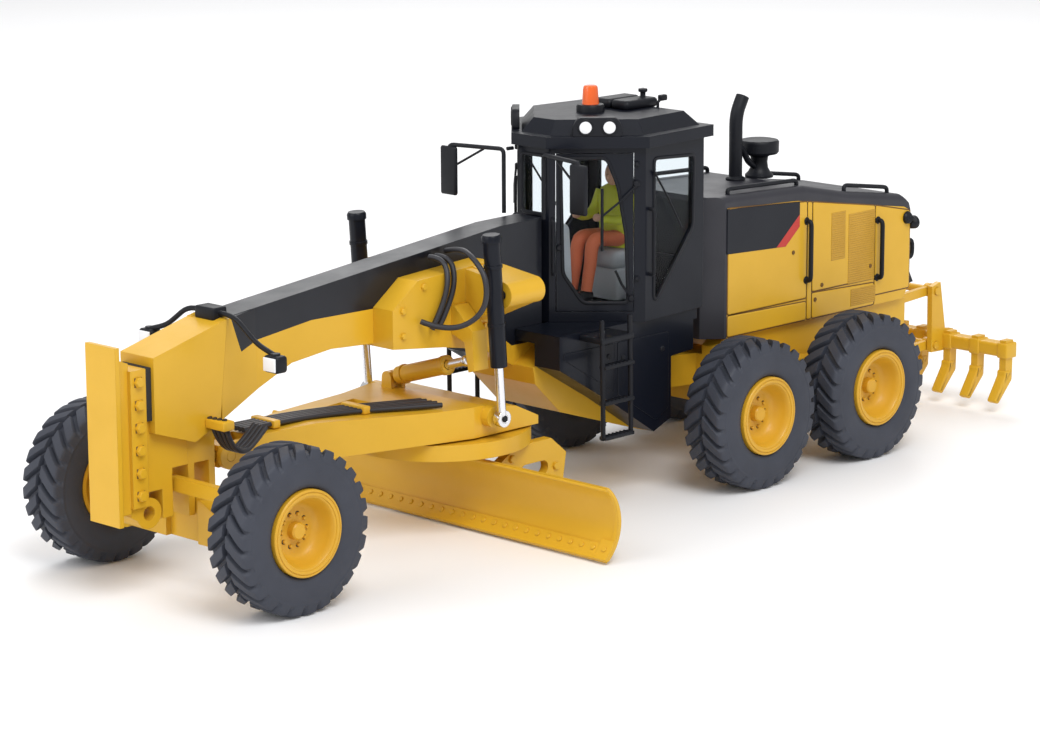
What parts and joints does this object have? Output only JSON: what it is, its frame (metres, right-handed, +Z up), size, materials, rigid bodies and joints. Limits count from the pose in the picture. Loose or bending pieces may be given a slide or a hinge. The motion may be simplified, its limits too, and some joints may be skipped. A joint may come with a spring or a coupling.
{
  "type": "motor grader scale model",
  "caption": "Die-cast 1:50 scale model of an articulated motor grader with tandem drive, mid blade on a turning circle, leaning steered front wheels, cab with figure and rear ripper.",
  "frame": {"origin": "on the floor under the middle of the model's bounding box, where it stands on its six tyres", "axes": "+X forward to the front plate, +Y to the machine's left, +Z up"},
  "size_m": [0.2179, 0.0852, 0.0746],
  "materials": {
    "yellow_paint": "gloss",
    "rim_yellow": "satin",
    "black_paint": "satin",
    "black_plastic": "matt",
    "tyre_rubber": "matt",
    "chrome_rod": "polished",
    "window_glass": "clear",
    "beacon_orange": "gloss",
    "figure_yellow": "gloss",
    "hose_rubber": "satin"
  },
  "bodies": {
    "rear_chassis": {"rear_frame": "yellow_paint", "engine_hood": "yellow_paint", "hood_cover": "black_paint", "exhaust_stack": "black_paint", "air_precleaner": "black_paint", "hood_fittings": "black_paint"},
    "front_chassis": {"front_frame": "yellow_paint", "head_column": "yellow_paint", "front_plate": "yellow_paint", "lift_yoke": "yellow_paint", "shift_bracket": "yellow_paint", "nose_hoses": "hose_rubber", "yoke_hoses": "hose_rubber", "cab_base": "black_paint", "cab_frame": "black_paint", "cab_doors": "black_paint", "cab_glass": "window_glass", "cab_roof": "black_paint", "cab_interior": "black_plastic", "operator_figure": "figure_yellow", "cab_steps": "black_plastic", "roof_fittings": "black_plastic", "beacon": "beacon_orange", "mirrors": "black_plastic", "front_lamps": "black_plastic"},
    "tandem_left_body": {"tandem_left": "yellow_paint"},
    "tandem_right_body": {"tandem_right": "yellow_paint"},
    "axle_body": {"front_axle": "yellow_paint"},
    "lean_left": {"lean_bracket_left": "yellow_paint"},
    "lean_right": {"lean_bracket_right": "yellow_paint"},
    "steer_left": {"knuckle_left": "yellow_paint"},
    "steer_right": {"knuckle_right": "yellow_paint"},
    "lean_bar_body": {"lean_bar": "yellow_paint"},
    "drawbar_swing_body": {"drawbar_pivot": "yellow_paint"},
    "drawbar_body": {"drawbar": "yellow_paint", "drawbar_hoses": "hose_rubber"},
    "circle_body": {"circle": "yellow_paint", "blade_arms": "yellow_paint"},
    "blade_body": {"moldboard": "yellow_paint"},
    "lift_barrel_left_body": {"lift_barrel_left": "black_paint"},
    "lift_barrel_right_body": {"lift_barrel_right": "black_paint"},
    "lift_rod_left_body": {"lift_rod_left": "chrome_rod"},
    "lift_rod_right_body": {"lift_rod_right": "chrome_rod"},
    "shift_barrel_body": {"shift_barrel": "yellow_paint"},
    "shift_rod_body": {"shift_rod": "chrome_rod"},
    "ripper_lower": {"ripper_link_lower": "yellow_paint"},
    "ripper_upper": {"ripper_link_upper": "yellow_paint"},
    "ripper_body": {"ripper_carriage": "yellow_paint"},
    "wheel_front_left": {"rim_front_left": "rim_yellow", "tyre_front_left": "tyre_rubber"},
    "wheel_front_right": {"rim_front_right": "rim_yellow", "tyre_front_right": "tyre_rubber"},
    "wheel_mid_left": {"rim_mid_left": "rim_yellow", "tyre_mid_left": "tyre_rubber"},
    "wheel_mid_right": {"rim_mid_right": "rim_yellow", "tyre_mid_right": "tyre_rubber"},
    "wheel_rear_left": {"rim_rear_left": "rim_yellow", "tyre_rear_left": "tyre_rubber"},
    "wheel_rear_right": {"rim_rear_right": "rim_yellow", "tyre_rear_right": "tyre_rubber"}
  },
  "joints": [
    {"name": "articulation", "type": "hinge", "parent": "rear_chassis", "child": "front_chassis", "pos_m": [-0.0205, 0, 0.019], "axis": [0, 0, 1], "range_deg": [-20, 20]},
    {"name": "spin_front_left", "type": "hinge", "parent": "steer_left", "child": "wheel_front_left", "pos_m": [0.0905, 0.024, 0.014], "axis": [0, 1, 0], "continuous": true},
    {"name": "spin_front_right", "type": "hinge", "parent": "steer_right", "child": "wheel_front_right", "pos_m": [0.0905, -0.024, 0.014], "axis": [0, 1, 0], "continuous": true},
    {"name": "spin_mid_left", "type": "hinge", "parent": "tandem_left_body", "child": "wheel_mid_left", "pos_m": [-0.0241, 0.024, 0.014], "axis": [0, 1, 0], "continuous": true},
    {"name": "spin_mid_right", "type": "hinge", "parent": "tandem_right_body", "child": "wheel_mid_right", "pos_m": [-0.0241, -0.024, 0.014], "axis": [0, 1, 0], "continuous": true},
    {"name": "spin_rear_left", "type": "hinge", "parent": "tandem_left_body", "child": "wheel_rear_left", "pos_m": [-0.0569, 0.024, 0.014], "axis": [0, 1, 0], "continuous": true},
    {"name": "spin_rear_right", "type": "hinge", "parent": "tandem_right_body", "child": "wheel_rear_right", "pos_m": [-0.0569, -0.024, 0.014], "axis": [0, 1, 0], "continuous": true},
    {"name": "tandem_rock_left", "type": "hinge", "parent": "rear_chassis", "child": "tandem_left_body", "pos_m": [-0.0405, 0.0158, 0.014], "axis": [0, 1, 0], "range_deg": [-15, 15]},
    {"name": "tandem_rock_right", "type": "hinge", "parent": "rear_chassis", "child": "tandem_right_body", "pos_m": [-0.0405, -0.0158, 0.014], "axis": [0, 1, 0], "range_deg": [-15, 15]},
    {"name": "axle_rock", "type": "hinge", "parent": "front_chassis", "child": "axle_body", "pos_m": [0.0905, 0, 0.015], "axis": [1, 0, 0], "range_deg": [-10, 10]},
    {"name": "lean_left_hinge", "type": "hinge", "parent": "axle_body", "child": "lean_left", "pos_m": [0.0905, 0.0136, 0.0096], "axis": [1, 0, 0], "range_deg": [-18, 18]},
    {"name": "lean_right_hinge", "type": "hinge", "parent": "axle_body", "child": "lean_right", "pos_m": [0.0905, -0.0136, 0.0096], "axis": [1, 0, 0], "range_deg": [-18, 18]},
    {"name": "lean_bar_hinge", "type": "hinge", "parent": "lean_left", "child": "lean_bar_body", "pos_m": [0.0954, 0.0136, 0.0186], "axis": [1, 0, 0], "range_deg": [-18, 18]},
    {"name": "steer_left_hinge", "type": "hinge", "parent": "lean_left", "child": "steer_left", "pos_m": [0.0905, 0.0203, 0.014], "axis": [0, 0, 1], "range_deg": [-35, 35]},
    {"name": "steer_right_hinge", "type": "hinge", "parent": "lean_right", "child": "steer_right", "pos_m": [0.0905, -0.0203, 0.014], "axis": [0, 0, 1], "range_deg": [-35, 35]},
    {"name": "drawbar_swing", "type": "hinge", "parent": "front_chassis", "child": "drawbar_swing_body", "pos_m": [0.0845, 0, 0.0215], "axis": [0, 0, 1], "range_deg": [-4, 4]},
    {"name": "drawbar_lift", "type": "hinge", "parent": "drawbar_swing_body", "child": "drawbar_body", "pos_m": [0.0845, 0, 0.0215], "axis": [0, 1, 0], "range_deg": [-0.4, 4]},
    {"name": "circle_turn", "type": "hinge", "parent": "drawbar_body", "child": "circle_body", "pos_m": [0.033, 0, 0.016], "axis": [0, 0, 1], "range_deg": [-30, 30]},
    {"name": "blade_shift", "type": "slide", "parent": "circle_body", "child": "blade_body", "axis": [0, 1, 0], "range_m": [-0.006, 0.006]},
    {"name": "lift_swivel_left", "type": "hinge", "parent": "front_chassis", "child": "lift_barrel_left_body", "pos_m": [0.0357, 0.017, 0.0435], "axis": [1, 0, 0], "range_deg": [-10, 10]},
    {"name": "lift_rod_slide_left", "type": "slide", "parent": "lift_barrel_left_body", "child": "lift_rod_left_body", "axis": [0.0729, 0, 0.9973], "range_m": [-0.001, 0.006]},
    {"name": "lift_swivel_right", "type": "hinge", "parent": "front_chassis", "child": "lift_barrel_right_body", "pos_m": [0.0357, -0.017, 0.0435], "axis": [1, 0, 0], "range_deg": [-10, 10]},
    {"name": "lift_rod_slide_right", "type": "slide", "parent": "lift_barrel_right_body", "child": "lift_rod_right_body", "axis": [0.0729, 0, 0.9973], "range_m": [-0.001, 0.006]},
    {"name": "shift_swivel", "type": "hinge", "parent": "drawbar_body", "child": "shift_barrel_body", "pos_m": [0.0355, -0.009, 0.0254], "axis": [1, 0, 0], "range_deg": [-12, 3]},
    {"name": "shift_rod_slide", "type": "slide", "parent": "shift_barrel_body", "child": "shift_rod_body", "axis": [0, 0.9575, 0.2883], "range_m": [-0.004, 0.004]},
    {"name": "ripper_lift", "type": "hinge", "parent": "rear_chassis", "child": "ripper_lower", "pos_m": [-0.0875, 0, 0.011], "axis": [0, 1, 0], "range_deg": [-6, 25]},
    {"name": "ripper_upper_hinge", "type": "hinge", "parent": "rear_chassis", "child": "ripper_upper", "pos_m": [-0.0875, 0, 0.0223], "axis": [0, 1, 0], "range_deg": [-6, 25]},
    {"name": "ripper_carriage_hinge", "type": "hinge", "parent": "ripper_lower", "child": "ripper_body", "pos_m": [-0.1031, 0, 0.0119], "axis": [0, 1, 0], "range_deg": [-25, 6]}
  ],
  "couplings": [
    {"joint": "lean_right_hinge", "follows": "lean_left_hinge", "ratio": 1},
    {"joint": "lean_bar_hinge", "follows": "lean_left_hinge", "ratio": -1},
    {"joint": "steer_right_hinge", "follows": "steer_left_hinge", "ratio": 1},
    {"joint": "lift_swivel_left", "follows": "drawbar_swing", "ratio": -2.3014},
    {"joint": "lift_swivel_right", "follows": "drawbar_swing", "ratio": -2.3014},
    {"joint": "lift_rod_slide_left", "follows": "drawbar_lift", "m_per_rad": 0.0504},
    {"joint": "lift_rod_slide_right", "follows": "drawbar_lift", "m_per_rad": 0.0504},
    {"joint": "shift_swivel", "follows": "drawbar_lift", "ratio": -2.4155},
    {"joint": "shift_rod_slide", "follows": "drawbar_swing", "m_per_rad": 0.04692},
    {"joint": "ripper_upper_hinge", "follows": "ripper_lift", "ratio": 1},
    {"joint": "ripper_carriage_hinge", "follows": "ripper_lift", "ratio": -1}
  ]
}
